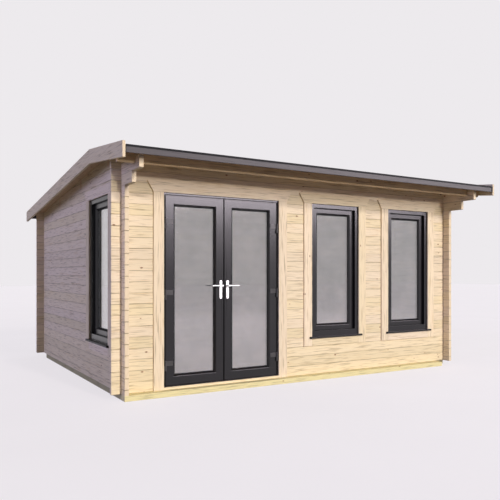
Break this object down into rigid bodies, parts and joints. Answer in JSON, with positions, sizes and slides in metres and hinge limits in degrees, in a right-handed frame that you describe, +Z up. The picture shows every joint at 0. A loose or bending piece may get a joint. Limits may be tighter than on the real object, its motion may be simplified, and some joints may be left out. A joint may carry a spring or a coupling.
{
  "type": "garden office log cabin",
  "caption": "Garden log cabin with notched corners, a shallow pitched roof carried forward on log consoles, outward opening glazed doors and tall windows.",
  "frame": {"origin": "on the ground under the middle of the roof", "axes": "+X to the right along the front wall, +Y to the back, +Z up"},
  "size_m": [5.16, 4.68, 2.5998],
  "materials": {
    "log_timber": "planed spruce",
    "trim_timber": "planed spruce",
    "bearer_timber": "pressure treated",
    "floor_timber": "planed boards",
    "roof_timber": "planed boards",
    "membrane": "matt sheet",
    "fascia_paint": "grey stain",
    "window_frame": "satin foil",
    "sill_metal": "powder coat",
    "hinge_metal": "powder coat",
    "lever_metal": "satin",
    "glass": "clear"
  },
  "bodies": {
    "cabin": {"front_bearer": "bearer_timber", "side_and_rear_bearers": "bearer_timber", "floor_joists": "bearer_timber", "floor_boards": "floor_timber", "front_wall_header": "log_timber", "front_wall_left": "log_timber", "front_wall_below_windows": "log_timber", "front_wall_door_pier": "log_timber", "front_wall_window_pier": "log_timber", "front_wall_right": "log_timber", "back_wall": "log_timber", "right_wall": "log_timber", "left_wall": "log_timber", "front_window_frames": "window_frame", "front_window_sashes": "window_frame", "front_window_glass": "glass", "front_window_sills": "sill_metal", "side_window_frame": "window_frame", "side_window_sash": "window_frame", "side_window_glass": "glass", "side_window_sill": "sill_metal", "front_window_trims": "trim_timber", "side_window_trims": "trim_timber", "door_trims": "trim_timber", "door_frame": "window_frame", "door_frame_hinges": "hinge_metal", "front_purlin": "roof_timber", "roof_purlins": "roof_timber", "roof_boards_front": "roof_timber", "roof_boards_rear": "roof_timber", "roof_membrane": "membrane", "front_fascia": "fascia_paint", "rear_fascia": "fascia_paint", "left_bargeboards": "trim_timber", "right_bargeboards": "trim_timber"},
    "left_leaf": {"left_leaf": "window_frame", "left_leaf_glass": "glass", "left_leaf_flags": "hinge_metal", "left_backplates": "lever_metal"},
    "right_leaf": {"right_leaf": "window_frame", "right_leaf_glass": "glass", "right_leaf_flags": "hinge_metal", "right_backplates": "lever_metal"},
    "left_lever": {"left_lever": "lever_metal"},
    "right_lever": {"right_lever": "lever_metal"}
  },
  "joints": [
    {"name": "left_leaf_swing", "type": "hinge", "parent": "cabin", "child": "left_leaf", "pos_m": [-1.8965, -1.702, 1.1], "axis": [0, 0, -1], "range_deg": [0, 90]},
    {"name": "right_leaf_swing", "type": "hinge", "parent": "cabin", "child": "right_leaf", "pos_m": [-0.4975, -1.702, 1.1], "axis": [0, 0, 1], "range_deg": [0, 90]},
    {"name": "left_lever_turn", "type": "hinge", "parent": "left_leaf", "child": "left_lever", "pos_m": [-1.2395, -1.69, 1.15], "axis": [0, -1, 0], "range_deg": [0, 40], "stiffness_Nm_per_rad": 1.5, "springref_deg": -28.65},
    {"name": "right_lever_turn", "type": "hinge", "parent": "right_leaf", "child": "right_lever", "pos_m": [-1.1545, -1.69, 1.15], "axis": [0, 1, 0], "range_deg": [0, 40], "stiffness_Nm_per_rad": 1.5, "springref_deg": -28.65}
  ]
}
